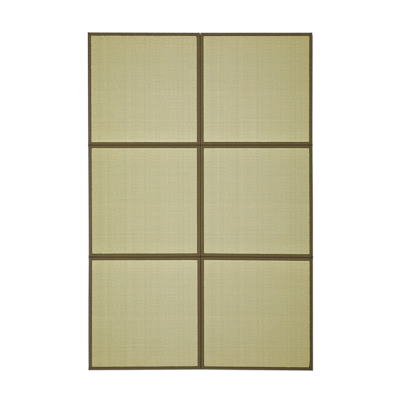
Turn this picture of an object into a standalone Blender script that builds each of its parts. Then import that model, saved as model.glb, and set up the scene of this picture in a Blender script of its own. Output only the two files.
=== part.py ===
"""A tatami floor mat of six square panels, laid edge to edge in three rows of two.

Each panel is one firm board faced with woven rush. The ribs of the weave run along the mat's length.
A strip of folded cloth binds each of a panel's four sides: it covers the pressed rim of the rush,
goes round the side and laps under the panel, and it meets its neighbours in a mitre at each corner.

The mat lies flat: X across its width, Y along its length, Z up. The origin is on the floor, under
the middle of the mat. All lengths are in metres.
"""

import math

import bmesh
import bpy
from mathutils import Matrix, Vector

# The grid of panels
PANEL_PITCH = 0.820
COLUMNS = {"left": -0.5, "right": 0.5}
ROWS = {"top": 1.0, "middle": 0.0, "bottom": -1.0}
CLEARANCE = 0.0003

# The rush face and the rim that its binding covers, as heights above the floor
RUSH_TOP = 0.0200
RIM_TOP = 0.0186
RIB_COUNT = 48
RIB_DEPTH = 0.0009
# A rib from valley to valley: how far across it, and how far down from its crown, as shares
RIB_SHAPE = ((0.0, 1.0), (0.22, 0.28), (0.5, 0.0), (0.78, 0.28))
RIM_RADIUS = 0.0045

# The binding
BINDING_FACE = 0.0245
CLOTH = 0.0015
CROWN_TOP = 0.0216
FACE_MIDDLE_TOP = 0.0214
FREE_EDGE_TOP = 0.0206
SHOULDER_RADIUS = 0.0085
RADIUS_STEPS = 3
SHOULDER_STEPS = 5

# How far a folded corner is drawn in, and how far along the side that reaches
CORNER_PULL = 0.0025
CORNER_REACH = 0.010

# How far the hand-laid grid strays from square. Each row is one line across the mat, from its top
# edge to its bottom edge, with the drift of its left end, its middle and its right end along X and Y
GRID_DRIFT = (
    {"left": (-0.0025, 0.0045), "middle": (-0.0015, 0.0020), "right": (0.0000, 0.0025)},
    {"left": (0.0010, 0.0025), "middle": (0.0000, 0.0025), "right": (-0.0015, 0.0025)},
    {"left": (0.0050, 0.0065), "middle": (0.0015, 0.0080), "right": (0.0015, 0.0010)},
    {"left": (0.0040, -0.0010), "middle": (0.0035, 0.0035), "right": (0.0025, -0.0045)},
)

# Colours, as sRGB from 0 to 1, and how light or dark each panel's rush is beside the mean
RUSH_COLOUR = (0.735, 0.713, 0.553)
BINDING_COLOUR = (0.420, 0.365, 0.235)
RUSH_TONES = {
    ("top", "left"): 1.01,
    ("top", "right"): 0.985,
    ("middle", "left"): 1.025,
    ("middle", "right"): 1.005,
    ("bottom", "left"): 1.0,
    ("bottom", "right"): 0.965,
}
RUSH_ROUGHNESS = 0.62
BINDING_ROUGHNESS = 0.85

# Worked out from the sizes above
PANEL_HALF = PANEL_PITCH / 2 - CLEARANCE / 2
CORE_INSET = CLOTH + CLEARANCE
FIELD_HALF = PANEL_HALF - BINDING_FACE - CLEARANCE
MERGE_DISTANCE = 0.00001

# Which way each binding strip is turned about Z, from one whose outer side faces -Y
SIDE_TURNS = {"south": 0.0, "east": 90.0, "north": 180.0, "west": -90.0}


def clear_scene():
    """Empty the scene and drop what its objects leave behind."""
    for existing in list(bpy.data.objects):
        bpy.data.objects.remove(existing, do_unlink=True)
    for shapes in (bpy.data.meshes, bpy.data.curves, bpy.data.lattices):
        for shape in list(shapes):
            shapes.remove(shape)


def linear(channel):
    """Turn one sRGB channel into the linear value that a material takes."""
    if channel <= 0.04045:
        return channel / 12.92
    return ((channel + 0.055) / 1.055) ** 2.4


def cloth_material(name, colour, roughness):
    """Make a plain material of one colour."""
    material = bpy.data.materials.new(name)
    material.use_nodes = True
    shader = material.node_tree.nodes["Principled BSDF"]
    rgba = [linear(channel) for channel in colour] + [1.0]
    shader.inputs["Base Color"].default_value = rgba
    shader.inputs["Roughness"].default_value = roughness
    shader.inputs["Metallic"].default_value = 0.0
    material.diffuse_color = rgba
    return material


def arc(centre, radius, start, stop, steps):
    """List the points of an arc, with its ends, from one angle to another in degrees."""
    points = []
    for step in range(steps + 1):
        angle = math.radians(start + (stop - start) * step / steps)
        points.append((centre[0] + radius * math.cos(angle), centre[1] + radius * math.sin(angle)))
    return points


def binding_section():
    """Outline the cloth of a binding, as distances in from the panel's side and up from the floor."""
    core_centre = CORE_INSET + RIM_RADIUS
    inner_radius = RIM_RADIUS + CLEARANCE
    outer_radius = inner_radius + CLOTH
    shoulder = arc((SHOULDER_RADIUS, CROWN_TOP - SHOULDER_RADIUS), SHOULDER_RADIUS, 90, 180, SHOULDER_STEPS)
    lower_outer = arc((core_centre, core_centre), outer_radius, 180, 270, RADIUS_STEPS)
    lower_inner = arc((core_centre, core_centre), inner_radius, 270, 180, RADIUS_STEPS)
    upper_inner = arc((core_centre, RIM_TOP - RIM_RADIUS), inner_radius, 180, 90, RADIUS_STEPS)
    face = [(BINDING_FACE, FREE_EDGE_TOP), ((BINDING_FACE + SHOULDER_RADIUS) / 2, FACE_MIDDLE_TOP)]
    lap_end = [(BINDING_FACE, 0.0), (BINDING_FACE, CLOTH)]
    rim_end = [(BINDING_FACE, RIM_TOP + CLEARANCE)]
    return face + shoulder + lower_outer + lap_end + lower_inner + upper_inner + rim_end


def rib_section():
    """Outline the woven field across its ribs, from the floor to the crown of each rib."""
    pitch = 2 * FIELD_HALF / RIB_COUNT
    outline = [(FIELD_HALF, 0.0)]
    for rib in range(RIB_COUNT):
        for along, drop in RIB_SHAPE:
            outline.append((FIELD_HALF - (rib + along) * pitch, RUSH_TOP - RIB_DEPTH * drop))
    return outline + [(-FIELD_HALF, RUSH_TOP - RIB_DEPTH), (-FIELD_HALF, 0.0)]


def extruded(name, outline, length):
    """Extrude a closed outline by a length, centred on its own plane, and return it as a bmesh."""
    curve = bpy.data.curves.new(name, "CURVE")
    curve.dimensions = "2D"
    curve.fill_mode = "BOTH"
    curve.extrude = length / 2
    spline = curve.splines.new("POLY")
    spline.points.add(len(outline) - 1)
    for point, (across, up) in zip(spline.points, outline):
        point.co = (across, up, 0.0, 1.0)
    spline.use_cyclic_u = True
    holder = bpy.data.objects.new(name, curve)
    bpy.context.scene.collection.objects.link(holder)
    depsgraph = bpy.context.evaluated_depsgraph_get()
    flat_mesh = bpy.data.meshes.new_from_object(holder.evaluated_get(depsgraph))
    shape = bmesh.new()
    shape.from_mesh(flat_mesh)
    bmesh.ops.remove_doubles(shape, verts=shape.verts, dist=MERGE_DISTANCE)
    bmesh.ops.recalc_face_normals(shape, faces=shape.faces)
    bpy.data.objects.remove(holder)
    bpy.data.curves.remove(curve)
    bpy.data.meshes.remove(flat_mesh)
    return shape


def everything(shape):
    """List all of a bmesh's points, edges and faces."""
    return shape.verts[:] + shape.edges[:] + shape.faces[:]


def score_near_ends(shape, axis):
    """Add an edge round a shape at each end of the part that its corners draw in."""
    for sign in (-1, 1):
        direction = axis * sign
        point = direction * (PANEL_HALF - CORNER_REACH)
        bmesh.ops.bisect_plane(shape, geom=everything(shape), plane_co=point, plane_no=direction)


def draw_in_corners(shape):
    """Move a panel-centred shape's four upright corners in towards the panel's middle."""
    for vert in shape.verts:
        from_side = PANEL_HALF - abs(vert.co.x)
        from_end = PANEL_HALF - abs(vert.co.y)
        share = 1 - max(from_side, from_end) / CORNER_REACH
        if share > 0:
            vert.co.x -= math.copysign(CORNER_PULL * share, vert.co.x)
            vert.co.y -= math.copysign(CORNER_PULL * share, vert.co.y)


def finished_mesh(shape, name):
    """Close a bmesh into a new mesh."""
    mesh = bpy.data.meshes.new(name)
    shape.to_mesh(mesh)
    shape.free()
    return mesh


def binding_mesh():
    """Make one binding strip, on the side of a centred panel that faces -Y."""
    strip = extruded("binding_section", binding_section(), 2 * PANEL_HALF)
    stand_up = Matrix(((0, 0, 1), (1, 0, 0), (0, 1, 0))).to_4x4()
    to_side = Matrix.Translation((0, -PANEL_HALF, 0))
    bmesh.ops.transform(strip, matrix=to_side @ stand_up, verts=strip.verts)
    for sign in (-1, 1):
        mitre_point = Vector((sign * PANEL_HALF, -PANEL_HALF, 0))
        mitre_normal = Vector((sign, 1, 0)).normalized()
        mitre_point -= mitre_normal * CLEARANCE / 2
        cut = bmesh.ops.bisect_plane(
            strip,
            geom=everything(strip),
            plane_co=mitre_point,
            plane_no=mitre_normal,
            clear_outer=True,
        )
        rim = [item for item in cut["geom_cut"] if isinstance(item, bmesh.types.BMEdge)]
        bmesh.ops.edgeloop_fill(strip, edges=rim)
    score_near_ends(strip, Vector((1, 0, 0)))
    draw_in_corners(strip)
    bmesh.ops.recalc_face_normals(strip, faces=strip.faces)
    return finished_mesh(strip, "binding_strip")


def is_level(edge):
    """Tell whether an edge lies level."""
    return abs(edge.verts[0].co.z - edge.verts[1].co.z) < MERGE_DISTANCE


def core_mesh():
    """Make the board's pressed rim and sides, which the binding wraps."""
    core = bmesh.new()
    bmesh.ops.create_cube(core, size=1.0)
    width = 2 * (PANEL_HALF - CORE_INSET)
    height = RIM_TOP - CORE_INSET
    bmesh.ops.scale(core, vec=(width, width, height), verts=core.verts)
    bmesh.ops.translate(core, vec=(0, 0, CORE_INSET + height / 2), verts=core.verts)
    bmesh.ops.bevel(
        core,
        geom=[edge for edge in core.edges if is_level(edge)],
        offset=RIM_RADIUS,
        segments=RADIUS_STEPS,
        profile=0.5,
        affect="EDGES",
    )
    score_near_ends(core, Vector((1, 0, 0)))
    score_near_ends(core, Vector((0, 1, 0)))
    draw_in_corners(core)
    return finished_mesh(core, "core")


def panel_mesh(cutters):
    """Join the ribbed field to the core and return the panel's board as one mesh."""
    field = extruded("rib_section", rib_section(), 2 * FIELD_HALF)
    stand_up = Matrix.Rotation(math.radians(90), 4, "X")
    bmesh.ops.transform(field, matrix=stand_up, verts=field.verts)
    field_tool = bpy.data.objects.new("ribbed_field", finished_mesh(field, "ribbed_field"))
    field_tool.hide_render = True
    field_tool.display_type = "WIRE"
    cutters.objects.link(field_tool)
    core = bpy.data.objects.new("core", core_mesh())
    cutters.objects.link(core)
    join = core.modifiers.new("join_field", "BOOLEAN")
    join.operation = "UNION"
    join.solver = "EXACT"
    join.object = field_tool
    depsgraph = bpy.context.evaluated_depsgraph_get()
    mesh = bpy.data.meshes.new_from_object(core.evaluated_get(depsgraph))
    mesh.name = "rush_panel"
    bpy.data.objects.remove(core)
    return mesh


def grid_guide(cutters):
    """Make the lattice that moves the straight grid to where the panels really lie.

    Its points start one unit apart, so the guide's scale puts one on each corner of each panel.
    """
    lattice = bpy.data.lattices.new("hand_laid_grid")
    lattice.points_u = len(GRID_DRIFT[0])
    lattice.points_v = len(GRID_DRIFT)
    lattice.points_w = 1
    lattice.interpolation_type_u = "KEY_LINEAR"
    lattice.interpolation_type_v = "KEY_LINEAR"
    for line, drifts in enumerate(reversed(GRID_DRIFT)):
        for station, drift in enumerate(drifts.values()):
            point = lattice.points[line * lattice.points_u + station]
            point.co_deform = point.co + Vector((*drift, 0.0)) / PANEL_PITCH
    guide = bpy.data.objects.new("hand_laid_grid", lattice)
    guide.scale = (PANEL_PITCH, PANEL_PITCH, 1.0)
    guide.hide_render = True
    cutters.objects.link(guide)
    return guide


def lay_piece(name, mesh, material, location, turn, guide, collection):
    """Lay one piece of the mat in place and let the grid guide shift it."""
    piece = bpy.data.objects.new(name, mesh)
    piece.location = location
    piece.rotation_euler = (0.0, 0.0, math.radians(turn))
    collection.objects.link(piece)
    piece.material_slots[0].link = "OBJECT"
    piece.material_slots[0].material = material
    drift = piece.modifiers.new("hand_laid_grid", "LATTICE")
    drift.object = guide


def main():
    """Build the six panels and their bindings."""
    clear_scene()
    scene_root = bpy.context.scene.collection
    collection = bpy.data.collections.new("tatami_mat")
    cutters = bpy.data.collections.new("cutters")
    scene_root.children.link(collection)
    scene_root.children.link(cutters)
    guide = grid_guide(cutters)
    board = panel_mesh(cutters)
    strip = binding_mesh()
    binding_cloth = cloth_material("binding_cloth", BINDING_COLOUR, BINDING_ROUGHNESS)
    for mesh in (board, strip):
        mesh.materials.clear()
        mesh.materials.append(binding_cloth)
    for row, row_step in ROWS.items():
        for column, column_step in COLUMNS.items():
            tone = RUSH_TONES[(row, column)]
            colour = [channel * tone for channel in RUSH_COLOUR]
            rush = cloth_material(f"rush_{row}_{column}", colour, RUSH_ROUGHNESS)
            centre = (column_step * PANEL_PITCH, row_step * PANEL_PITCH, 0.0)
            lay_piece(f"panel_{row}_{column}", board, rush, centre, 0.0, guide, collection)
            for side, turn in SIDE_TURNS.items():
                name = f"binding_{row}_{column}_{side}"
                lay_piece(name, strip, binding_cloth, centre, turn, guide, collection)


main()
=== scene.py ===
"""The look of a tatami floor mat: six rush panels in three rows of two, each bound with cloth.

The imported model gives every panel's place. Each panel gets a firm board, a woven rush cover laid
over it, and four binding strips of folded cloth that lap from the cover's rim to the underside.
"""

from __future__ import annotations

import logging
import math
from dataclasses import dataclass
from enum import Enum

import bpy
import numpy as np
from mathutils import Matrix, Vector

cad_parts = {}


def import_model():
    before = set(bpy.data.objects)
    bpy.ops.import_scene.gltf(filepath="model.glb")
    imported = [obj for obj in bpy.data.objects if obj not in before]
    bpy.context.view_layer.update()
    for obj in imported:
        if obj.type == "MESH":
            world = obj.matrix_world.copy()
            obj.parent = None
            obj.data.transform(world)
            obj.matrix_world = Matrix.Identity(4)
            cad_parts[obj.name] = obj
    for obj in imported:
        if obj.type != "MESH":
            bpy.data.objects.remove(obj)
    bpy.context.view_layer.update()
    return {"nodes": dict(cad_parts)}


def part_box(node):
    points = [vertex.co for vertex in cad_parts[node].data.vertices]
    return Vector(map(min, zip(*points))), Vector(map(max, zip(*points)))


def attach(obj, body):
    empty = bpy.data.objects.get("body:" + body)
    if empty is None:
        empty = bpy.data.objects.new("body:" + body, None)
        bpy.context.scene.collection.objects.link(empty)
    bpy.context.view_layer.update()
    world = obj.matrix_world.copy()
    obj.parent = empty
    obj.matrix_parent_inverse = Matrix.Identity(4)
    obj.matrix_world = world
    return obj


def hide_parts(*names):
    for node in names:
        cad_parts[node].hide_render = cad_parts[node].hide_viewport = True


LOG = logging.getLogger("tatami_mat")
BODY = "root"
MM = 0.001

Colour = tuple[float, float, float, float]
Piece = bpy.types.Object
Material = bpy.types.Material
Node = bpy.types.Node
Socket = bpy.types.NodeSocket
NodeTree = bpy.types.NodeTree
WHITE: Colour = (1.0, 1.0, 1.0, 1.0)

# The straight panel that the maker works to, before the grid's drift
PANEL_HALF = 0.40985
FIELD_HALF = 0.38505
RIB_COUNT = 48
RIB_PITCH = 2 * FIELD_HALF / RIB_COUNT
ROWS = ("top", "middle", "bottom")
COLUMNS = ("left", "right")

# How far the two cross joints lie from the mat's middle
CROSS_JOINT = 0.41


class Side(Enum):
    """A panel's four sides, as quarter turns from the one that faces -Y."""

    SOUTH = 0
    EAST = 1
    NORTH = 2
    WEST = 3

    @property
    def word(self) -> str:
        """Return the side's name as the nodes spell it."""
        return self.name.lower()

    @property
    def axis(self) -> int:
        """Return the axis that the side faces along, 0 for X and 1 for Y."""
        return 1 - self.value % 2

    @property
    def sign(self) -> int:
        """Return which way along its axis the side faces."""
        return 1 if self in (Side.EAST, Side.NORTH) else -1

    @property
    def is_flank(self) -> bool:
        """Tell whether the side faces across the mat."""
        return self.axis == 0

    def beside(self, step: int) -> Side:
        """Return the next side round the panel, one way or the other."""
        return Side((self.value + step) % 4)


# Which side of a panel is on the mat's outline in the outer rows and in both columns
OUTER_SIDES = {"top": Side.NORTH, "bottom": Side.SOUTH, "left": Side.WEST, "right": Side.EAST}

# How wide the binding shows on each panel's south, east, north and west face, in millimetres
FACE_WIDTHS = {
    "top_left": (20.8, 25.5, 25.5, 25.8),
    "top_right": (22.3, 26.3, 26.1, 24.9),
    "middle_left": (24.5, 25.7, 23.5, 26.9),
    "middle_right": (25.0, 25.7, 23.7, 25.5),
    "bottom_left": (26.2, 23.7, 25.0, 26.0),
    "bottom_right": (25.8, 25.6, 23.9, 24.8),
}

# How far a panel's side stands out past its plan, in millimetres: all along it, and more at its middle
DRIFTS = {
    ("top_left", Side.SOUTH): (1.5, 0.0),
    ("middle_left", Side.NORTH): (-1.5, 0.0),
    ("top_right", Side.SOUTH): (1.1, 0.0),
    ("middle_right", Side.NORTH): (-1.1, 0.0),
    ("middle_left", Side.SOUTH): (1.2, 2.0),
    ("bottom_left", Side.NORTH): (-1.2, -2.0),
    ("bottom_left", Side.EAST): (0.4, 1.4),
    ("bottom_right", Side.WEST): (-0.4, -1.4),
    ("bottom_left", Side.WEST): (0.0, 1.6),
    ("middle_right", Side.EAST): (0.0, 1.4),
    ("middle_left", Side.WEST): (0.0, -0.4),
}

# How far a side's hem runs in beside another side, and over what length, in millimetres
TAPERS = {
    ("bottom_right", Side.EAST, Side.SOUTH): (4.5, 45.0),
    ("bottom_right", Side.SOUTH, Side.EAST): (4.5, 9.0),
    ("top_left", Side.EAST, Side.NORTH): (2.5, 12.0),
    ("top_left", Side.NORTH, Side.EAST): (2.5, 12.0),
}
USUAL_TAPER = (0.2, 12.0)

# The cloth at its hem: how far in from the binding's visible edge it lies, and how high, in millimetres
HEM = (
    (7.5, 19.15),
    (3.5, 19.08),
    (1.2, 19.10),
    (0.35, 19.30),
    (0.0, 19.72),
    (0.25, 20.18),
    (1.1, 20.50),
    (3.0, 20.82),
    (6.5, 21.15),
    (10.5, 21.40),
)

# Each panel's rush beside the others, as factors on red, green and blue
RUSH_CASTS = {
    "top_left": (0.995, 0.986, 1.015),
    "top_right": (1.004, 0.990, 1.016),
    "middle_left": (0.961, 0.960, 0.938),
    "middle_right": (0.967, 0.966, 0.968),
    "bottom_left": (1.000, 1.000, 1.016),
    "bottom_right": (0.987, 0.970, 0.946),
}


def srgb(*channels: float) -> Colour:
    """Turn red, green and blue, each above 10 and up to 255, into the linear colour a node takes."""
    red, green, blue = (((channel / 255 + 0.055) / 1.055) ** 2.4 for channel in channels)
    return (red, green, blue, 1.0)


def soft_step(value: np.ndarray) -> np.ndarray:
    """Ease a ramp from 0 to 1, held level outside it."""
    clipped = np.clip(value, 0.0, 1.0)
    return clipped * clipped * (3.0 - 2.0 * clipped)


def waver(place: np.ndarray, seed: int, longest: float) -> np.ndarray:
    """Make a gentle uneven line from five waves of falling length.

    Args:
        place: Where along the line, in metres.
        seed: Which line this is.
        longest: The longest wave, in metres.

    Returns:
        A value from about -1 to 1 for each place.
    """
    dice = np.random.default_rng(seed)
    total = np.zeros_like(place)
    weight = 0.0
    for step in range(5):
        share = 0.7**step
        length = longest * 0.58**step
        total += share * np.sin(2 * math.pi * (place / length + dice.random()))
        weight += share
    return total / weight


def put_down_everything() -> None:
    """Leave edit mode and deselect every object."""
    if bpy.context.object and bpy.context.object.mode != "OBJECT":
        bpy.ops.object.mode_set(mode="OBJECT")
    bpy.ops.object.select_all(action="DESELECT")


def pick_up(piece: Piece) -> None:
    """Select one object alone and make it the active one.

    Args:
        piece: The object.
    """
    put_down_everything()
    piece.select_set(True)
    bpy.context.view_layer.objects.active = piece


def open_up(piece: Piece, kind: str) -> None:
    """Open one piece in edit mode.

    Args:
        piece: The piece.
        kind: What is picked on it, EDGE or FACE.
    """
    pick_up(piece)
    bpy.ops.object.mode_set(mode="EDIT")
    bpy.ops.mesh.select_mode(type=kind)


def close_facing_out() -> None:
    """Turn the open piece's faces outwards and leave edit mode."""
    bpy.ops.mesh.select_all(action="SELECT")
    bpy.ops.mesh.normals_make_consistent(inside=False)
    bpy.ops.object.mode_set(mode="OBJECT")


def points_of(piece: Piece) -> np.ndarray:
    """Read a mesh's points.

    Args:
        piece: The mesh object.

    Returns:
        Rows of X, Y and Z.
    """
    flat = np.empty(len(piece.data.vertices) * 3)
    piece.data.vertices.foreach_get("co", flat)
    return flat.reshape(-1, 3)


def move_points(piece: Piece, points: np.ndarray) -> None:
    """Give a mesh's points new places."""
    piece.data.vertices.foreach_set("co", points.astype(np.float32).ravel())
    piece.data.update()


def smooth(piece: Piece, angle: float) -> None:
    """Shade a piece smooth, but for edges sharper than an angle in degrees."""
    pick_up(piece)
    bpy.ops.object.shade_smooth_by_angle(angle=math.radians(angle))


def write_pattern_map(piece: Piece, places: np.ndarray) -> None:
    """Give a mesh one UV map that holds metres on the cloth, so a weave follows it.

    Args:
        piece: The mesh object.
        places: The cloth's own X and Y for each point of the mesh.
    """
    mesh = piece.data
    while mesh.uv_layers:
        mesh.uv_layers.remove(mesh.uv_layers[0])
    layer = mesh.uv_layers.new(name="cloth")
    corners = np.empty(len(mesh.loops), dtype=np.int64)
    mesh.loops.foreach_get("vertex_index", corners)
    layer.data.foreach_set("uv", places[corners].astype(np.float32).ravel())


def lay_grid(name: str, across: int, along: int) -> Piece:
    """Add a flat grid from -1 to 1 that a sheet is then shaped from.

    Args:
        name: The piece's name.
        across: How many faces it has along X.
        along: How many faces it has along Y.

    Returns:
        The new object, with nothing else selected.
    """
    put_down_everything()
    bpy.ops.mesh.primitive_grid_add(x_subdivisions=across, y_subdivisions=along, size=2.0)
    sheet = bpy.context.object
    sheet.name = sheet.data.name = name
    return sheet


def grid_lines(points: np.ndarray, count: int) -> np.ndarray:
    """Number from 0 the line along X that each point of a fresh grid, from -1 to 1, is on."""
    return np.rint((points[:, 1] + 1) / 2 * (count - 1)).astype(int)


@dataclass(frozen=True)
class PanelPlan:
    """Where one panel really lies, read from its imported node."""

    row: str
    column: str
    corners: dict[tuple[int, int], Vector]

    @property
    def name(self) -> str:
        """Return the words that this panel's pieces share."""
        return f"{self.row}_{self.column}"

    @property
    def seed(self) -> int:
        """Return this panel's own number for its unevenness."""
        return 10 * ROWS.index(self.row) + COLUMNS.index(self.column) + 1

    @classmethod
    def read(cls, row: str, column: str, node: Piece) -> PanelPlan:
        """Find the four corners of a panel's raised rush field.

        Args:
            row: The panel's row.
            column: The panel's column.
            node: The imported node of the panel.

        Returns:
            The plan.
        """
        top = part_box(node.name)[1][2]
        raised = [vert.co for vert in node.data.vertices if vert.co.z > top - 1.1 * MM]
        corners = {}
        for step_x in (-1, 1):
            for step_y in (-1, 1):
                corners[(step_x, step_y)] = max(raised, key=lambda co: step_x * co.x + step_y * co.y).copy()
        return cls(row, column, corners)

    def lay(self, points: np.ndarray) -> np.ndarray:
        """Move points from the straight panel to where the panel lies.

        Args:
            points: Rows of X, Y and Z, with the panel's middle at the origin.

        Returns:
            The same rows in the mat's frame.
        """
        laid = points.copy()
        share_x = points[:, 0] / FIELD_HALF
        share_y = points[:, 1] / FIELD_HALF
        laid[:, :2] = 0.0
        for (step_x, step_y), corner in self.corners.items():
            weight = (1 + step_x * share_x) * (1 + step_y * share_y) / 4
            laid[:, 0] += weight * corner.x
            laid[:, 1] += weight * corner.y
        for side in Side:
            level, middle = self.drift(side)
            past_field = (side.sign * points[:, side.axis] - FIELD_HALF) / (PANEL_HALF - FIELD_HALF)
            bow = 1 - (points[:, 1 - side.axis] / PANEL_HALF) ** 2
            laid[:, side.axis] += side.sign * MM * (level + middle * bow) * np.clip(past_field, 0.0, 1.1)
        return laid

    def drift(self, side: Side) -> tuple[float, float]:
        """Return how far a side stands out, in millimetres: all along it, and more at its middle."""
        return DRIFTS.get((self.name, side), (0.0, 0.0))

    def outside(self, side: Side) -> bool:
        """Tell whether a side is on the mat's outline."""
        return side in (OUTER_SIDES.get(self.row), OUTER_SIDES[self.column])

    def face_width(self, side: Side) -> float:
        """Return how wide the binding shows on one side's face, in metres."""
        return FACE_WIDTHS[self.name][side.value] * MM


@dataclass
class Wiring:
    """A short hand for wiring shader nodes."""

    tree: NodeTree

    def feed(self, socket: Socket, value: object) -> None:
        """Link a socket to another one, or set its plain value.

        Args:
            socket: The socket to feed.
            value: A socket or a plain value.
        """
        if isinstance(value, Socket):
            self.tree.links.new(value, socket)
        else:
            socket.default_value = value

    def add(self, kind: str, values: dict[int | str, object] | None = None, **settings: object) -> Node:
        """Add a node and feed it.

        Args:
            kind: The node's type.
            values: What feeds its inputs, by their numbers or names.
            settings: Its properties.

        Returns:
            The node.
        """
        node = self.tree.nodes.new(kind)
        for name, setting in settings.items():
            setattr(node, name, setting)
        for place, value in (values or {}).items():
            self.feed(node.inputs[place], value)
        return node

    def group(self, tree: NodeTree, **values: object) -> bpy.types.NodeOutputs:
        """Place a group, feed its inputs, whose words are joined by one low line, and return its outputs."""
        named = {name.replace("_", " "): value for name, value in values.items()}
        return self.add("ShaderNodeGroup", named, node_tree=tree).outputs

    def on_cloth(self) -> Socket:
        """Return the place on the flat cloth, in metres."""
        return self.add("ShaderNodeUVMap", uv_map="cloth").outputs["UV"]

    def on_mat(self) -> Socket:
        """Return the place on the mat, in metres."""
        return self.add("ShaderNodeTexCoord").outputs["Object"]

    def math(self, operation: str, *values: object, clamp: bool = False) -> Socket:
        """Do one sum and return its result."""
        numbered = dict(enumerate(values))
        return self.add("ShaderNodeMath", numbered, operation=operation, use_clamp=clamp).outputs[0]

    def times(self, product: object, *factors: object) -> Socket:
        """Multiply numbers one after another.

        Args:
            product: The first number.
            factors: The others.

        Returns:
            The product.
        """
        for factor in factors:
            product = self.math("MULTIPLY", product, factor)
        return product

    def mix(self, share: object, first: object, second: object, blend: str = "MIX") -> Socket:
        """Blend a second colour into a first one, by a share, and return the result."""
        colours = {0: share, 6: first, 7: second}
        return self.add("ShaderNodeMix", colours, data_type="RGBA", blend_type=blend).outputs[2]

    def vector(self, x: object, y: object, z: object = 0.0) -> Socket:
        """Join three numbers into a vector."""
        return self.add("ShaderNodeCombineXYZ", {"X": x, "Y": y, "Z": z}).outputs[0]

    def split(self, vector: object) -> list[Socket]:
        """Take a vector apart into its three numbers."""
        return list(self.add("ShaderNodeSeparateXYZ", {0: vector}).outputs)

    def noise(self, vector: object, scale: float = 1.0, detail: float = 1.0) -> Socket:
        """Add soft noise and return its value, which is 0.5 on the whole."""
        values = {"Vector": vector, "Scale": scale, "Detail": detail}
        return self.add("ShaderNodeTexNoise", values, noise_dimensions="3D").outputs[0]

    def dice(self, vector: object) -> Socket:
        """Give each cell of a grid its own number from 0 to 1."""
        return self.add("ShaderNodeTexWhiteNoise", {"Vector": vector}, noise_dimensions="3D").outputs["Value"]

    def ramp(self, value: object, low: float, high: float, start: float = 0.0, stop: float = 1.0) -> Socket:
        """Map the range from low to high onto the one from start to stop, held at both ends."""
        values = dict(enumerate((value, low, high, start, stop)))
        return self.add("ShaderNodeMapRange", values, clamp=True).outputs[0]


def set_levels(node: Node, **levels: object) -> None:
    """Set a node's plain inputs, with their words joined by one low line."""
    for name, level in levels.items():
        node.inputs[name.replace("_", " ")].default_value = level


def start_material(name: str) -> tuple[Material, Wiring, Node]:
    """Start a material.

    Args:
        name: The material's name.

    Returns:
        The material, its wiring and its shader.
    """
    material = bpy.data.materials.new(name)
    material.use_nodes = True
    return material, Wiring(material.node_tree), material.node_tree.nodes["Principled BSDF"]


def raise_surface(wire: Wiring, shader: Node, height: Socket) -> None:
    """Turn a height in metres into a bump on the shader's normal."""
    bump = wire.add("ShaderNodeBump", {"Strength": 1.0, "Distance": 1.0, "Height": height})
    wire.feed(shader.inputs["Normal"], bump.outputs["Normal"])


def new_group(name: str, inputs: dict[str, str], outputs: dict[str, str]) -> tuple[Wiring, dict, dict]:
    """Start a shader node group with named sockets.

    Args:
        name: The group's name.
        inputs: Each input's name and its kind: Float, Vector or Color.
        outputs: Each output's name and its kind.

    Returns:
        The group's wiring, its inputs inside and its outputs inside, by name.
    """
    tree = bpy.data.node_groups.new(name, "ShaderNodeTree")
    for way, sockets in (("INPUT", inputs), ("OUTPUT", outputs)):
        for label, kind in sockets.items():
            tree.interface.new_socket(name=label, in_out=way, socket_type=f"NodeSocket{kind}")
    wiring = Wiring(tree)
    entry = wiring.add("NodeGroupInput").outputs
    leave = wiring.add("NodeGroupOutput").inputs
    return wiring, {label: entry[label] for label in inputs}, {label: leave[label] for label in outputs}


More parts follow.
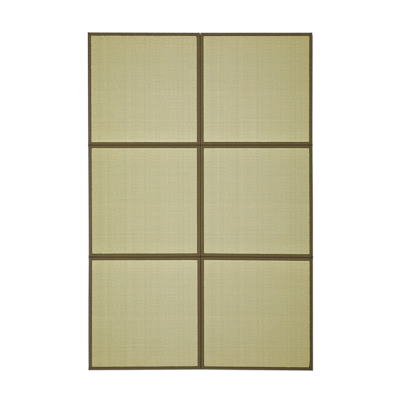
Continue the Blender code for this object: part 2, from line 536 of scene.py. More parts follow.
@dataclass(frozen=True)
class PatternGroups:
    """The effects that more than one finish uses, each built once."""

    rush_weave: NodeTree
    fading: NodeTree
    thread_weave: NodeTree

    @classmethod
    def build(cls) -> PatternGroups:
        """Build the groups."""
        return cls(cls.build_rush_weave(), cls.build_fading(), cls.build_thread_weave())

    @staticmethod
    def build_rush_weave() -> NodeTree:
        """Build the woven rush: stems across the mat, ribs along it, and every second stem offset.

        Returns:
            A group that puts out a stem's tone, the shade between stems and ribs, specks and the height.
        """
        inputs = {"Cloth": "Vector", "Rib Pitch": "Float", "Stem Pitch": "Float"}
        outputs = {"Tone": "Float", "Shade": "Float", "Blemish": "Float", "Height": "Float"}
        bundle_length = 23.5 * MM
        wire, given, out = new_group("rush_weave", inputs, outputs)
        across, along, _ = wire.split(given["Cloth"])
        ribs = wire.math("DIVIDE", wire.math("ADD", across, FIELD_HALF), given["Rib Pitch"])
        rib = wire.math("FLOOR", ribs)
        arch = wire.math("SINE", wire.times(wire.math("FRACT", ribs), math.pi))
        odd = wire.math("MODULO", wire.math("ABSOLUTE", rib), 2.0)
        stems = wire.math("ADD", wire.math("DIVIDE", along, given["Stem Pitch"]), wire.times(odd, 0.5))
        stem = wire.math("FLOOR", stems)
        from_middle = wire.math("ABSOLUTE", wire.math("MULTIPLY_ADD", wire.math("FRACT", stems), 2.0, -1.0))
        roundness = wire.math("SUBTRACT", 1.0, wire.math("POWER", from_middle, 2.4))
        own = wire.dice(wire.vector(stem, odd, 0.5))
        line = wire.dice(wire.vector(rib, 7.5, 0.5))
        slow = wire.noise(wire.vector(wire.times(across, 7.0), wire.times(stem, 2.37), odd), detail=2.0)
        fibre = wire.noise(wire.vector(wire.times(across, 60.0), wire.times(along, 5200.0)))
        tone = wire.math("MULTIPLY_ADD", own, 0.50, wire.times(slow, 1.15))
        tone = wire.math("ADD", tone, wire.math("MULTIPLY_ADD", fibre, 0.36, -0.59))
        tone = wire.math("MULTIPLY_ADD", line, 0.20, tone)
        drift = wire.noise(wire.vector(wire.times(across, 5.0), 2.0, 9.0))
        turns = wire.math("MULTIPLY_ADD", along, 2 * math.pi / bundle_length, wire.times(drift, 25.0))
        patch = wire.ramp(wire.noise(wire.vector(across, along, 3.0), 11.0), 0.42, 0.62, 0.0, 0.13)
        wire.feed(out["Tone"], wire.math("MULTIPLY_ADD", wire.math("SINE", turns), patch, tone, clamp=True))
        dark_gap = wire.ramp(roundness, 0.0, 0.55, 0.62, 1.0)
        dark_rib = wire.ramp(arch, 0.0, 0.42, 0.80, 1.0)
        wire.feed(out["Shade"], wire.times(dark_gap, dark_rib))
        spot = wire.noise(wire.vector(wire.times(across, 95.0), wire.times(stem, 5.1)))
        wire.feed(out["Blemish"], wire.ramp(spot, 0.72, 0.80))
        height = wire.times(roundness, wire.math("POWER", arch, 0.5), 0.42 * MM)
        height = wire.math("MULTIPLY_ADD", fibre, 0.05 * MM, height)
        wire.feed(out["Height"], wire.math("MULTIPLY_ADD", own, 0.12 * MM, height))
        return wire.tree

    @staticmethod
    def build_fading() -> NodeTree:
        """Build slow, cloudy changes of a colour over the whole mat.

        Returns:
            A group that puts out a colour.
        """
        inputs = {
            "Color": "Color",
            "Other Color": "Color",
            "Place": "Vector",
            "Cloud Size": "Float",
            "Amount": "Float",
        }
        wire, given, out = new_group("uneven_fading", inputs, {"Color": "Color"})
        stretch = {0: given["Place"], "Scale": wire.math("DIVIDE", 1.0, given["Cloud Size"])}
        place = wire.add("ShaderNodeVectorMath", stretch, operation="SCALE").outputs[0]
        cloud = wire.ramp(wire.noise(place, detail=3.0), 0.3, 0.7)
        share = wire.times(cloud, given["Amount"])
        wire.feed(out["Color"], wire.mix(share, given["Color"], given["Other Color"]))
        return wire.tree

    @staticmethod
    def build_thread_weave() -> NodeTree:
        """Build a plain weave of round threads, one over and one under.

        Returns:
            A group that puts out which thread is on top, the shade between threads, and the height.
        """
        inputs = {"Cloth": "Vector", "Thread Pitch": "Float", "Relief": "Float"}
        outputs = {"Warp": "Float", "Shade": "Float", "Height": "Float"}
        wire, given, out = new_group("thread_weave", inputs, outputs)
        across, along, _ = wire.split(given["Cloth"])
        columns = wire.math("DIVIDE", across, given["Thread Pitch"])
        lines = wire.math("DIVIDE", along, given["Thread Pitch"])
        wave_x = wire.math("SINE", wire.times(columns, math.pi))
        wave_y = wire.math("SINE", wire.times(lines, math.pi))
        bump = wire.times(wave_x, wave_y)
        wire.feed(out["Warp"], wire.ramp(bump, -0.25, 0.25))
        crown = wire.math("POWER", wire.math("ABSOLUTE", bump), 0.6)
        own = wire.dice(wire.vector(wire.math("FLOOR", columns), wire.math("FLOOR", lines), 0.5))
        gap = wire.ramp(crown, 0.0, 0.9, 0.80, 0.98)
        wire.feed(out["Shade"], wire.math("MULTIPLY_ADD", own, 0.10, gap))
        wire.feed(out["Height"], wire.times(crown, given["Relief"]))
        return wire.tree


@dataclass(frozen=True)
class Finish:
    """What every finish of the mat shares: its pattern groups, and how it fades in clouds."""

    groups: PatternGroups
    faded: Colour = WHITE
    cloud_size: float = 0.1
    cloud_amount: float = 0.35

    def fade(self, wire: Wiring, colour: Socket) -> Socket:
        """Fade a fresh colour in clouds over the mat."""
        clouds = {"Place": wire.on_mat(), "Cloud_Size": self.cloud_size, "Amount": self.cloud_amount}
        return wire.group(self.groups.fading, Color=colour, Other_Color=self.faded, **clouds)["Color"]


@dataclass(frozen=True)
class RushFinish(Finish):
    """Dried rush, green and straw, woven in ribs."""

    faded: Colour = srgb(184, 175, 133)
    cloud_size: float = 0.16
    cloud_amount: float = 0.32
    green: Colour = srgb(165, 167, 127)
    straw: Colour = srgb(201, 193, 160)
    # Painted shade: the tint that darkens and yellows the rush towards the mat's outline
    outline_shade_colour: Colour = (0.8, 0.77, 0.2, 1.0)
    blemish: Colour = srgb(146, 124, 82)
    cool: Colour = (0.967, 1.0, 1.056, 1.0)
    warm: Colour = (1.033, 1.0, 0.944, 1.0)
    sunned: Colour = (1.036, 1.0, 0.968, 1.0)
    stem_pitch: float = 1.35 * MM
    # Where across the mat the painted outline shade is least, and how fast it grows towards the sides and the
    # ends
    least_shaded_across: float = -0.04
    side_shading: float = 0.45
    end_shading: float = 0.14

    def make(self, plan: PanelPlan) -> Material:
        """Make one panel's rush.

        Args:
            plan: The panel.

        Returns:
            The material.
        """
        material, wire, shader = start_material(f"rush_{plan.name}")
        pitches = {"Rib_Pitch": RIB_PITCH, "Stem_Pitch": self.stem_pitch}
        weave = wire.group(self.groups.rush_weave, Cloth=wire.on_cloth(), **pitches)
        colour = wire.mix(weave["Tone"], self.green, self.straw)
        colour = self.fade(wire, wire.mix(weave["Blemish"], colour, self.blemish))
        # Painted shade, darker and yellower towards the mat's outline
        colour = wire.mix(self.age(wire), colour, self.outline_shade_colour, "MULTIPLY")
        colour = wire.mix(1.0, colour, self.warmth(wire), "MULTIPLY")
        # Painted shade between stems and ribs, a painted highlight beside the binding, and lighter rush near
        # the cross joints
        shade = wire.times(weave["Shade"], self.painted_edge_highlight(wire))
        cast = wire.vector(*(wire.times(shade, factor) for factor in RUSH_CASTS[plan.name]))
        wire.feed(shader.inputs["Base Color"], wire.mix(1.0, colour, cast, "MULTIPLY"))
        wire.feed(shader.inputs["Roughness"], wire.ramp(weave["Tone"], 0.0, 1.0, 0.66, 0.52))
        set_levels(shader, Specular_IOR_Level=0.35)
        raise_surface(wire, shader, weave["Height"])
        return material

    @staticmethod
    def painted_edge_highlight(wire: Wiring) -> Socket:
        """Paint a highlight on the rush beside the binding, and make the rush lighter near the cross joints.

        Args:
            wire: The material's wiring.

        Returns:
            The factor on the rush's colour.
        """
        across, along, _ = wire.split(wire.on_cloth())
        out = wire.math("MAXIMUM", wire.math("ABSOLUTE", across), wire.math("ABSOLUTE", along))
        # Painted highlight beside the binding
        beside = wire.ramp(out, FIELD_HALF - 14 * MM, FIELD_HALF - 5 * MM, 1.0, 1.15)
        up_the_mat = wire.split(wire.on_mat())[1]
        off_joint = wire.math("SUBTRACT", wire.math("ABSOLUTE", up_the_mat), PANEL_HALF)
        near_joint = wire.ramp(wire.math("ABSOLUTE", off_joint), 0.04, 0.12, 1.07, 1.0)
        return wire.times(beside, near_joint)

    def warmth(self, wire: Wiring) -> Socket:
        """Let the rush turn a little redder or greener in small patches, and redder at the mat's ends.

        Args:
            wire: The material's wiring.

        Returns:
            A tint to multiply the rush's colour by.
        """
        across, along, _ = wire.split(wire.on_mat())
        patches = wire.noise(wire.vector(wire.times(across, 70.0), wire.times(along, 40.0)))
        tint = wire.mix(wire.ramp(patches, 0.3, 0.7), self.cool, self.warm)
        near_end = wire.ramp(wire.math("ABSOLUTE", along), 1.03, 1.18)
        return wire.mix(near_end, tint, self.sunned, "MULTIPLY")

    def age(self, wire: Wiring) -> Socket:
        """Paint shade on the rush, darker and yellower towards the mat's outline, for the overhead light's
        sheen that falls off from the mat's middle.

        Args:
            wire: The material's wiring.

        Returns:
            The share of painted outline shade.
        """
        across, along, _ = wire.split(wire.on_mat())
        off_freshest = wire.math("SUBTRACT", across, self.least_shaded_across)
        side = wire.times(off_freshest, off_freshest, self.side_shading)
        end = wire.times(along, along, self.end_shading)
        return wire.math("ADD", side, end, clamp=True)


@dataclass(frozen=True)
class ThreadFinish(Finish):
    """Cloth in a plain weave of two tones."""

    warp: Colour = WHITE
    weft: Colour = WHITE
    thread_pitch: float = 1.0 * MM
    relief: float = 0.15 * MM

    def weave(self, wire: Wiring, shader: Node, cloth: Socket, painted_shade: object) -> None:
        """Weave and fade the threads, tint them by the painted shade, and give their colour and relief to the
        shader.

        Args:
            wire: The material's wiring.
            shader: The material's shader.
            cloth: The place on the cloth, in metres.
            painted_shade: A tint of painted shade to multiply the threads' colour by, white for none.
        """
        sizes = {"Thread_Pitch": self.thread_pitch, "Relief": self.relief}
        weave = wire.group(self.groups.thread_weave, Cloth=cloth, **sizes)
        colour = self.fade(wire, wire.mix(weave["Warp"], self.weft, self.warp))
        colour = wire.mix(1.0, colour, painted_shade, "MULTIPLY")
        shade = wire.vector(weave["Shade"], weave["Shade"], weave["Shade"])
        wire.feed(shader.inputs["Base Color"], wire.mix(1.0, colour, shade, "MULTIPLY"))
        raise_surface(wire, shader, weave["Height"])


@dataclass(frozen=True)
class BindingFinish(ThreadFinish):
    """Olive brown cotton, with painted shade on the mat's outline, along its hem and down every folded edge.
    """

    name: str = "binding_cloth"
    warp: Colour = srgb(112, 97, 64)
    weft: Colour = srgb(92, 80, 50)
    faded: Colour = srgb(115, 101, 69)
    cloud_size: float = 0.07
    thread_pitch: float = 0.9 * MM
    relief: float = 0.14 * MM
    # The painted shade: the share of colour kept overall, where the painted fold shade starts and how dark it
    # gets, how dark the sides and the hem are painted, and how brown the hem's painted shade is
    kept: float = 1.0
    fold_from: float = 16.0 * MM
    fold_share: float = 0.37
    side_share: float = 0.8
    hem_share: float = 0.40
    hem_brown: float = 0.0
    # Where the outer strips' painted shade starts, across and along the mat
    flanks_from: float = 0.797
    ends_from: float = 1.209

    def make(self) -> Material:
        """Make the binding's cloth.

        Returns:
            The material.
        """
        material, wire, shader = start_material(self.name)
        self.weave(wire, shader, wire.on_cloth(), self.painted_shade(wire))
        set_levels(shader, Roughness=0.88, Specular_IOR_Level=0.08, Sheen_Weight=0.04, Sheen_Roughness=0.5)
        return material

    def painted_shade(self, wire: Wiring) -> Socket:
        """Paint shade on the cloth: over its folds and down its sides, along its hem, on the mat's outline,
        along the long middle joint, and towards the mat's right side and lower end.

        Args:
            wire: The material's wiring.

        Returns:
            A tint of painted shade to multiply the cloth's colour by.
        """
        across, along, up = wire.split(wire.on_mat())
        broad = wire.times(self.slow_tone(wire, across, along), self.long_joint(wire, across, along))
        # Painted shade over the fold and down the side
        above = wire.ramp(up, self.fold_from, 21.4 * MM, self.fold_share, 1.0)
        beneath = wire.ramp(up, 6.0 * MM, 13.5 * MM, self.side_share, self.fold_share)
        rim = 1.0
        # Painted shade on each outer strip, and more on its outermost edge, side by side round the outline
        for way, start, whole_strip, outermost in (
            (wire.times(across, -1.0), self.flanks_from, 0.90, 0.54),
            (across, self.flanks_from, 0.81, 0.60),
            (along, self.ends_from, 0.84, 0.74),
            (wire.times(along, -1.0), self.ends_from, 0.81, 0.70),
        ):
            broad = wire.times(broad, wire.ramp(way, start - 4 * MM, start + 2 * MM, 1.0, whole_strip))
            rim = wire.times(wire.ramp(way, start + 10 * MM, start + 17 * MM, 1.0, outermost), rim)
        unrolled = wire.split(wire.on_cloth())[1]
        # Painted shade along the hem
        hem = wire.ramp(unrolled, 7.0 * MM, 20.0 * MM, self.hem_share, 1.0)
        narrow = wire.times(wire.math("MAXIMUM", above, beneath), rim, hem)
        # The painted shade goes browner, with less blue, at the outermost edges and along the hem
        brown = wire.times(wire.math("POWER", rim, 0.7), wire.math("POWER", hem, self.hem_brown))
        red = wire.times(broad, narrow)
        green = wire.times(broad, wire.math("POWER", narrow, 1.12), wire.math("POWER", brown, 0.2))
        blue = wire.times(broad, wire.math("POWER", narrow, 1.85), brown)
        return wire.vector(red, green, blue)

    @staticmethod
    def long_joint(wire: Wiring, across: Socket, along: Socket) -> Socket:
        """Paint shade in the mat's long middle joint, lighter or darker from one row of panels to the next,
        and a darker band beside it above the lowest row.

        Args:
            wire: The material's wiring.
            across: Where across the mat, in metres.
            along: Where along the mat, in metres.

        Returns:
            The factor on the cloth's colour.
        """
        lower_joint = (-CROSS_JOINT - 20 * MM, -CROSS_JOINT + 20 * MM)
        upper_joint = (CROSS_JOINT - 20 * MM, CROSS_JOINT + 20 * MM)
        off_joint = wire.math("ABSOLUTE", across)
        on_line = wire.ramp(off_joint, 3.5 * MM, 7.0 * MM, 1.0, 0.0)
        by_row = wire.times(
            wire.ramp(along, *lower_joint, 0.85, 1.22),
            wire.ramp(along, *upper_joint, 1.0, 0.82),
        )
        line = wire.math("MULTIPLY_ADD", on_line, wire.math("SUBTRACT", by_row, 1.0), 1.0)
        past = wire.ramp(off_joint, 8.0 * MM, 11.0 * MM)
        within = wire.ramp(off_joint, 18.0 * MM, 21.0 * MM, 1.0, 0.0)
        above_lowest_row = wire.ramp(along, *lower_joint, 0.0, -0.15)
        crown = wire.math("MULTIPLY_ADD", wire.times(past, within), above_lowest_row, 1.0)
        return wire.times(line, crown)

    def slow_tone(self, wire: Wiring, across: Socket, along: Socket) -> Socket:
        """Return the share of the colour kept, with painted shade towards the mat's right side and lower end.
        """
        to_right = wire.math("MULTIPLY_ADD", across, -0.08, self.kept)
        return wire.times(to_right, wire.ramp(along, -0.7, -0.35, 0.93, 1.0))


@dataclass(frozen=True)
class BackingFinish(ThreadFinish):
    """The board's plain underside, in undyed cloth."""

    warp: Colour = srgb(196, 188, 158)
    weft: Colour = srgb(176, 168, 138)
    faded: Colour = srgb(196, 188, 158)
    cloud_size: float = 0.2
    cloud_amount: float = 0.4
    thread_pitch: float = 1.6 * MM
    relief: float = 0.18 * MM

    def make(self) -> Material:
        """Make the underside's cloth.

        Returns:
            The material.
        """
        material, wire, shader = start_material("backing_cloth")
        self.weave(wire, shader, wire.on_mat(), WHITE)
        set_levels(shader, Roughness=0.9)
        return material


@dataclass
class RushCover:
    """A panel's woven rush face, pressed down where the binding covers its rim."""

    plan: PanelPlan
    half: float = 0.4045
    faces_per_rib: int = 8
    rows_in_field: int = 84
    rows_at_rim: int = 9
    rim: float = 38 * MM
    crown: float = 20.1 * MM
    rib_depth: float = 0.95 * MM
    rib_sway: float = 0.25 * MM
    uneven_ribs: float = 0.05 * MM
    lumps: float = 0.07 * MM
    pressed: float = 18.75 * MM
    underside: float = 18.1 * MM
    press_from: float = 7.5 * MM

    def build(self) -> Piece:
        """Build the cover as one closed sheet.

        Returns:
            The cover, laid in place.
        """
        across = round(2 * self.half / RIB_PITCH * self.faces_per_rib)
        stations = self.stations()
        cover = lay_grid(f"rush_cover_{self.plan.name}", across, len(stations) - 1)
        self.give_underside(cover)
        points = points_of(cover)
        turned_under = points[:, 2] < 0
        points[:, 1] = stations[grid_lines(points, len(stations))]
        points[:, 0] *= self.half
        points[:, 2] = np.where(turned_under, self.underside, self.heights(points[:, 0], points[:, 1]))
        write_pattern_map(cover, points[:, :2])
        move_points(cover, self.plan.lay(points))
        smooth(cover, 50)
        return cover

    def stations(self) -> np.ndarray:
        """List the places along the panel where the cover has an edge, closer at the rim.

        Returns:
            The places, from one end to the other.
        """
        inner = self.half - self.rim
        near = np.linspace(inner, self.half, self.rows_at_rim + 1)[1:]
        return np.concatenate((-near[::-1], np.linspace(-inner, inner, self.rows_in_field + 1), near))

    @staticmethod
    def give_underside(cover: Piece) -> None:
        """Turn the sheet's outline down and close it underneath.

        Args:
            cover: The flat sheet.
        """
        open_up(cover, "EDGE")
        bpy.ops.mesh.select_all(action="DESELECT")
        bpy.ops.mesh.select_non_manifold()
        bpy.ops.mesh.extrude_region_move(TRANSFORM_OT_translate={"value": (0, 0, -1)})
        bpy.ops.mesh.edge_face_add()
        close_facing_out()

    def heights(self, across: np.ndarray, along: np.ndarray) -> np.ndarray:
        """Work out how high the rush stands at each place.

        Args:
            across: X on the straight panel.
            along: Y on the straight panel.

        Returns:
            Heights above the floor.
        """
        sway = self.rib_sway * waver(along, self.plan.seed, 0.31)
        ribs = (across + FIELD_HALF + sway) / RIB_PITCH
        number = np.floor(ribs).astype(int)
        arch = np.abs(np.sin(math.pi * (ribs - number))) ** 0.62
        dice = np.random.default_rng(self.plan.seed + 100)
        spare = 4
        own = dice.normal(0.0, self.uneven_ribs, RIB_COUNT + 2 * spare)[number + spare]
        lumps = self.lumps * np.sin(along * 151 + number * 2.4) * np.sin(along * 67 + number * 1.3)
        raised = self.crown - self.rib_depth * (1 - arch) + own + lumps * arch
        press = np.zeros(len(across))
        for side in Side:
            inwards = PANEL_HALF - side.sign * (across if side.is_flank else along)
            edge = self.plan.face_width(side)
            press = np.maximum(press, soft_step((edge + self.press_from - inwards) / self.press_from))
        return raised * (1 - press) + self.pressed * press


@dataclass
class Board:
    """A panel's firm board, under the cover and inside the binding."""

    plan: PanelPlan
    inset: float = 2.7 * MM
    top: float = 17.9 * MM
    lap: float = 25.5 * MM
    lap_height: float = 1.6 * MM
    step_width: float = 0.6 * MM
    edge_radius: float = 4.0 * MM
    corner_radius: float = 9.0 * MM

    def build(self) -> Piece:
        """Build the board from a block, with its lower rim stepped up for the laps.

        Returns:
            The board, laid in place.
        """
        put_down_everything()
        bpy.ops.mesh.primitive_cube_add(size=2.0)
        board = bpy.context.object
        board.name = board.data.name = f"board_{self.plan.name}"
        points = points_of(board)
        points[:, :2] *= PANEL_HALF - self.inset
        points[:, 2] = np.where(points[:, 2] > 0, self.top, self.lap_height)
        move_points(board, points)
        self.round_rim(board)
        self.step_down(board)
        smooth(board, 40)
        places = points_of(board)
        places[:, 2] = np.clip(places[:, 2], 0.0, self.top)
        over_lap = (places[:, 2] > self.lap_height / 2) & (places[:, 2] < self.lap_height)
        places[over_lap, 2] = self.lap_height
        write_pattern_map(board, places[:, :2])
        move_points(board, self.plan.lay(places))
        return board

    def round_rim(self, board: Piece) -> None:
        """Round the block's corners, then its upper and lower edges.

        Args:
            board: The block.
        """
        for upright, radius, segments in ((True, self.corner_radius, 5), (False, self.edge_radius, 4)):
            for edge in board.data.edges:
                ends = [board.data.vertices[number].co.z for number in edge.vertices]
                edge.select = (abs(ends[0] - ends[1]) > 5 * MM) == upright
            open_up(board, "EDGE")
            bpy.ops.mesh.bevel(offset=radius, segments=segments, affect="EDGES")
            bpy.ops.object.mode_set(mode="OBJECT")

    def step_down(self, board: Piece) -> None:
        """Let the underside's middle down to the floor, inside the laps.

        Args:
            board: The rounded block.
        """
        open_up(board, "FACE")
        bpy.ops.mesh.select_all(action="DESELECT")
        bpy.ops.object.mode_set(mode="OBJECT")
        for face in board.data.polygons:
            face.select = face.normal.z < -0.999
        open_up(board, "FACE")
        bpy.ops.mesh.inset(thickness=self.lap - self.inset - self.edge_radius)
        bpy.ops.mesh.inset(thickness=self.step_width)
        bpy.ops.transform.translate(value=(0, 0, -self.lap_height))
        bpy.ops.mesh.subdivide(number_cuts=7)
        close_facing_out()


@dataclass(frozen=True)
class CornerFold:
    """How far a panel's folded corner stands out past a straight one, and over what length."""

    across: float
    along: float
    reach: float = 16.0 * MM
    top_only: bool = False

    @classmethod
    def of(cls, plan: PanelPlan, side: Side, beside: Side) -> CornerFold:
        """Find the fold where two of a panel's sides meet.

        Args:
            plan: The panel.
            side: One side.
            beside: The side next to it.

        Returns:
            The fold of that corner.
        """
        flank, end = (side, beside) if side.is_flank else (beside, side)
        if plan.outside(flank) and plan.outside(end):
            return {
                (Side.WEST, Side.NORTH): cls(0.2 * MM, 1.3 * MM, 18 * MM),
                (Side.EAST, Side.NORTH): cls(-3.0 * MM, 1.2 * MM, 32 * MM),
                (Side.WEST, Side.SOUTH): cls(2.2 * MM, 0.2 * MM, 30 * MM),
                (Side.EAST, Side.SOUTH): cls(-1.2 * MM, 0.7 * MM, 18 * MM),
            }[(flank, end)]
        if plan.outside(flank):
            return cls(1.9 * MM, -0.15 * MM)
        if plan.outside(end):
            return cls(-3.2 * MM, 1.2 * MM) if end is Side.NORTH else cls(-0.6 * MM, 0.3 * MM)
        return cls(-0.4 * MM, -0.4 * MM, top_only=True)

    def out_of(self, side: Side) -> float:
        """Return how far the corner stands out of one side."""
        return self.across if side.is_flank else self.along


@dataclass
class BindingStrip:
    """One strip of binding cloth, folded from the rush's rim round the side and under the panel."""

    plan: PanelPlan
    side: Side
    stations: int = 84
    cloth: float = 0.8 * MM
    shoulder: float = 8.5 * MM
    crown: float = 21.5 * MM
    foot: float = 6.3 * MM
    lap: float = 24.3 * MM
    mitre_gap: float = 0.07 * MM
    bulge: float = 0.148 * MM
    hem_sway: float = 0.45 * MM
    side_sway: float = 0.35 * MM
    crown_sway: float = 0.22 * MM

    @property
    def name(self) -> str:
        """Return the strip's name."""
        return f"binding_strip_{self.plan.name}_{self.side.word}"

    @staticmethod
    def quarter_round(radius: float, middle: float, start: int, steps: int) -> list[tuple[float, float]]:
        """List how far in and how high each point lies of a round that touches the panel's side."""
        turns = [math.radians(start + 90 * step / steps) for step in range(steps + 1)]
        return [(radius + radius * math.cos(turn), middle + radius * math.sin(turn)) for turn in turns]

    def section(self) -> np.ndarray:
        """List the cloth's outer face across the strip, from its tucked hem to the end of its lap.

        Returns:
            Rows of how far in from the panel's side and how high above the floor.
        """
        edge = self.plan.face_width(self.side)
        hem = [(edge - back * MM, height * MM) for back, height in HEM]
        shoulder = self.quarter_round(self.shoulder, self.crown - self.shoulder, 90, 7)
        side = [(-self.bulge, (self.crown - self.shoulder + self.foot) / 2)]
        foot = self.quarter_round(self.foot, self.foot, 180, 4)
        lap = [(13 * MM, 0.0), (19 * MM, 0.0), (self.lap, 0.0)]
        return np.array(hem + shoulder + side + foot + lap)

    @staticmethod
    def stretches(section: np.ndarray) -> np.ndarray:
        """Measure the cloth from each line of a section to the next."""
        return np.linalg.norm(np.diff(section, axis=0), axis=1)

    def build(self) -> Piece:
        """Fold the strip, give the cloth its thickness and lay it in place.

        Returns:
            The strip.
        """
        section = self.section()
        strip = lay_grid(self.name, self.stations, len(section) - 1)
        flat = points_of(strip)
        line = grid_lines(flat, len(section))
        inwards, height = section[line, 0], section[line, 1]
        along = flat[:, 0] * (PANEL_HALF - inwards - self.mitre_gap)
        inwards, height = self.unevenness(along, inwards, height)
        unrolled = np.concatenate(([0.0], np.cumsum(self.stretches(section))))
        write_pattern_map(strip, np.column_stack((along, unrolled[line])))
        move_points(strip, np.column_stack((along, inwards - PANEL_HALF, height)))
        self.give_thickness(strip)
        points = self.draw_corners(self.trim_mitres(points_of(strip)))
        move_points(strip, self.plan.lay(self.turn(points)))
        smooth(strip, 55)
        return strip

    def unevenness(
        self, along: np.ndarray, inwards: np.ndarray, height: np.ndarray
    ) -> tuple[np.ndarray, np.ndarray]:
        """Let the hem, the crown and the side wander a little, as hand folded cloth does.

        Args:
            along: Where along the strip.
            inwards: How far in from the panel's side.
            height: How high above the floor.

        Returns:
            The new distances in and heights.
        """
        seed = self.plan.seed * 7 + self.side.value * 131
        on_face = soft_step((inwards - 4 * MM) / (12 * MM)) * (height > 17 * MM)
        on_side = soft_step((9 * MM - inwards) / (9 * MM)) * soft_step(height / (5 * MM))
        if not self.plan.outside(self.side):
            on_side *= inwards > -0.5 * self.bulge
        hem_sway = self.hem_sway * waver(along, seed + 1, 0.42)
        side_sway = self.side_sway * (1 + waver(along, seed + 2, 0.36)) / 2
        crown_sway = self.crown_sway * waver(along, seed + 3, 0.17)
        for sign in (-1, 1):
            corner = (self.plan.name, self.side, self.side.beside(sign))
            run_in, length = TAPERS.get(corner, USUAL_TAPER)
            from_corner = FIELD_HALF - sign * along
            hem_sway = hem_sway + run_in * MM * soft_step(1 - from_corner / (length * MM))
        on_crown = np.exp(-(((inwards - 12 * MM) / (6 * MM)) ** 2)) * (height > 19.8 * MM)
        return inwards + on_face * hem_sway + on_side * side_sway, height + on_crown * crown_sway

    def give_thickness(self, strip: Piece) -> None:
        """Make the folded face a closed sheet of even cloth, thickened inwards.

        Args:
            strip: The folded face.
        """
        open_up(strip, "FACE")
        close_facing_out()
        on_side = [face for face in strip.data.polygons if abs(face.center.z - 9 * MM) < 4 * MM]
        if next(face.normal.y for face in on_side if abs(face.normal.y) > 0.9) > 0:
            strip.data.flip_normals()
        skin = strip.modifiers.new("cloth", "SOLIDIFY")
        skin.thickness = self.cloth
        skin.offset = -1.0
        skin.use_even_offset = True
        skin.use_rim = True
        bpy.ops.object.modifier_apply(modifier=skin.name)

    def trim_mitres(self, points: np.ndarray) -> np.ndarray:
        """Hold the cloth's ends back to the mitre on both sides of its thickness.

        Args:
            points: The strip's points.

        Returns:
            The trimmed points.
        """
        trimmed = points.copy()
        inwards = points[:, 1] + PANEL_HALF
        limit = PANEL_HALF - inwards - self.mitre_gap
        trimmed[:, 0] = np.clip(points[:, 0], -limit, limit)
        return trimmed

    def draw_corners(self, points: np.ndarray) -> np.ndarray:
        """Move both of the strip's corners as the panel's corners were folded.

        Args:
            points: The strip's points, on the side that faces -Y.

        Returns:
            The moved points.
        """
        drawn = points.copy()
        for sign in (-1, 1):
            beside = self.side.beside(sign)
            fold = CornerFold.of(self.plan, self.side, beside)
            from_end = PANEL_HALF - sign * points[:, 0]
            from_side = PANEL_HALF + points[:, 1]
            share = soft_step(1 - np.maximum(from_end, from_side) / fold.reach)
            share = np.where(points[:, 0] * sign > 0, share, 0.0)
            if fold.top_only:
                share = share * soft_step((points[:, 2] - 12 * MM) / (8 * MM))
            drawn[:, 0] += sign * fold.out_of(beside) * share
            drawn[:, 1] -= fold.out_of(self.side) * share
        return drawn

    def turn(self, points: np.ndarray) -> np.ndarray:
        """Turn the strip from the side that faces -Y to its own side.

        Args:
            points: The strip's points.

        Returns:
            The turned points.
        """
        turned = points.copy()
        cosine, sine = ((1, 0), (0, 1), (-1, 0), (0, -1))[self.side.value]
        turned[:, 0] = cosine * points[:, 0] - sine * points[:, 1]
        turned[:, 1] = sine * points[:, 0] + cosine * points[:, 1]
        return turned

    def flat_size(self) -> tuple[float, float]:
        """Work out the strip's size before it is folded.

        Returns:
            Its cut width and length.
        """
        level, middle = self.plan.drift(self.side)
        face_and_lap = 2 * MM * (level + middle * 2 / 3)
        return float(self.stretches(self.section()).sum() + face_and_lap), 2 * PANEL_HALF

    def flat_area(self) -> float:
        """Work out the strip's area before it is folded.

        Returns:
            The area, with its ends cut to the mitres.
        """
        section = self.section()
        inwards = (section[1:, 0] + section[:-1, 0]) / 2
        width, length = self.flat_size()
        return float(width * length - (self.stretches(section) * 2 * inwards).sum())


@dataclass
class TatamiPanel:
    """One panel of the mat: its board, its rush cover and its four binding strips."""

    plan: PanelPlan
    rush: Material
    bindings: dict[Side, Material]
    backing: Material

    def build(self) -> None:
        """Build and dress the panel's pieces, and hide the imported nodes that they stand for."""
        node = f"panel_{self.plan.name}"
        board = Board(self.plan).build()
        self.dress(board, self.backing, "rush")
        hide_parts(node)
        maker = RushCover(self.plan)
        cover = maker.build()
        self.dress(cover, self.rush, "rush")
        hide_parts(node)
        board.name
        for side in Side:
            folder = BindingStrip(self.plan, side)
            strip = folder.build()
            self.dress(strip, self.bindings[side], "binding")
            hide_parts(f"binding_{self.plan.name}_{side.word}")
            folder.flat_size()
            folder.flat_area()
            board.name
            cover.name

    @staticmethod
    def dress(piece: Piece, material: Material, slot: str) -> None:
        """Give a piece its material and its body, and report it.

        Args:
            piece: The piece.
            material: Its finish.
            slot: Not used.
        """
        piece.data.materials.clear()
        piece.data.materials.append(material)
        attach(piece, BODY)
        LOG.info("built %s in %s", piece.name, material.name)


@dataclass
class TatamiMat:
    """The whole mat."""

    nodes: dict[str, Piece]

    def build(self) -> None:
        """Build all six panels."""
        groups = PatternGroups.build()
        # The flanks and ends get differently shaded copies of one cloth: the ends' copy has more painted
        # shade, overall and over its fold, and the north strips' painted hem shade is browner
        ends = {"kept": 0.95, "fold_from": 18.2 * MM, "fold_share": 0.53}
        flanks = BindingFinish(groups, name="binding_cloth_flanks", kept=1.02).make()
        bindings = {
            Side.SOUTH: BindingFinish(groups, name="binding_cloth_south", **ends).make(),
            Side.EAST: flanks,
            Side.NORTH: BindingFinish(groups, name="binding_cloth_north", hem_brown=0.75, **ends).make(),
            Side.WEST: flanks,
        }
        backing = BackingFinish(groups).make()
        rush = RushFinish(groups)
        for row in ROWS:
            for column in COLUMNS:
                plan = PanelPlan.read(row, column, self.nodes[f"panel_{row}_{column}"])
                TatamiPanel(plan, rush.make(plan), bindings, backing).build()


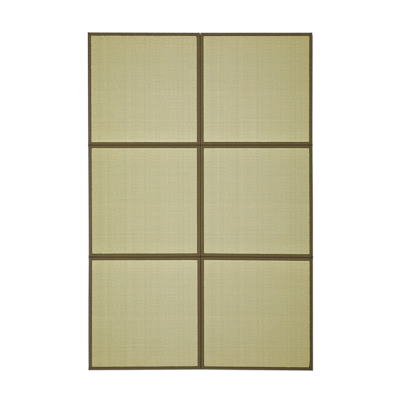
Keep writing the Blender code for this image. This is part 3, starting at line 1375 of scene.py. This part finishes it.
@dataclass
class Studio:
    """The pale floor, the soft light and the camera straight above."""

    frame_width: float = 2.9155
    lens: float = 100.0
    sensor: float = 36.0
    subject_height: float = 0.020
    centre_x: float = -0.0026
    centre_y: float = 0.0111
    floor_size: float = 40.0
    # The painted shadow beneath the mat: its colour, and how far it reaches
    under_mat_shadow_colour: Colour = (0.2, 0.2, 0.2, 1.0)
    shadow_half_width: float = 0.810
    shadow_half_length: float = 1.220
    light_place: tuple[float, float, float] = (-0.2, 0.1, 3.2)
    light_width: float = 1.3
    light_length: float = 3.4
    light_power: float = 125.0
    room_colour: Colour = (1.0, 0.99, 0.975, 1.0)
    room_strength: float = 0.25

    def build(self) -> None:
        """Set up the stage."""
        self.lay_floor()
        self.hang_lights()
        self.place_camera()
        bpy.context.scene.view_settings.view_transform = "Standard"
        LOG.info("studio: floor, lights and camera")

    def lay_floor(self) -> None:
        """Lay a pale floor that glows white round the mat, painted light that fills the mat's contact shadow,
        and is dark where the mat covers it, a painted shadow beneath the mat.
        """
        put_down_everything()
        bpy.ops.mesh.primitive_plane_add(size=self.floor_size, location=(0, 0, -0.5 * MM))
        floor = bpy.context.object
        floor.name = "studio_floor"
        material, wire, shader = start_material("studio_floor")
        across, along, _ = wire.split(wire.on_mat())
        past_side = wire.math("SUBTRACT", wire.math("ABSOLUTE", across), self.shadow_half_width)
        past_end = wire.math("SUBTRACT", wire.math("ABSOLUTE", along), self.shadow_half_length)
        # The floor glows round the mat, painted light, and barely glows beneath it, a painted shadow
        floor_glow = wire.ramp(wire.math("MAXIMUM", past_side, past_end), 0.0, 2 * MM, 0.01, 0.86)
        wire.feed(shader.inputs["Emission Strength"], floor_glow)
        set_levels(shader, Emission_Color=WHITE, Base_Color=self.under_mat_shadow_colour)
        set_levels(shader, Roughness=0.95, Specular_IOR_Level=0.0)
        floor.data.materials.append(material)

    def hang_lights(self) -> None:
        """Hang one broad soft light above the mat and fill the room evenly."""
        put_down_everything()
        bpy.ops.object.light_add(type="AREA", location=self.light_place)
        key = bpy.context.object
        key.name = "overhead_light"
        key.data.shape = "RECTANGLE"
        key.data.size = self.light_width
        key.data.size_y = self.light_length
        key.data.energy = self.light_power
        key.visible_camera = False
        world = bpy.data.worlds.new("studio_room")
        world.use_nodes = True
        set_levels(world.node_tree.nodes["Background"], Color=self.room_colour, Strength=self.room_strength)
        bpy.context.scene.world = world

    def place_camera(self) -> None:
        """Hold the camera over the mat, with the mat's length up the picture."""
        put_down_everything()
        distance = self.frame_width * self.lens / self.sensor
        place = (self.centre_x, self.centre_y, self.subject_height + distance)
        bpy.ops.object.camera_add(location=place, rotation=(0.0, 0.0, 0.0))
        camera = bpy.context.object
        camera.name = "overhead_camera"
        camera.data.lens = self.lens
        camera.data.sensor_width = self.sensor
        camera.data.clip_end = 60.0
        bpy.context.scene.camera = camera


def main() -> None:
    """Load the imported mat, dress it and set the stage."""
    logging.basicConfig(level=logging.INFO, format="%(name)s: %(message)s")
    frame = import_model()
    Studio().build()
    TatamiMat(frame["nodes"]).build()
    put_down_everything()


if __name__ == "__main__":
    main()
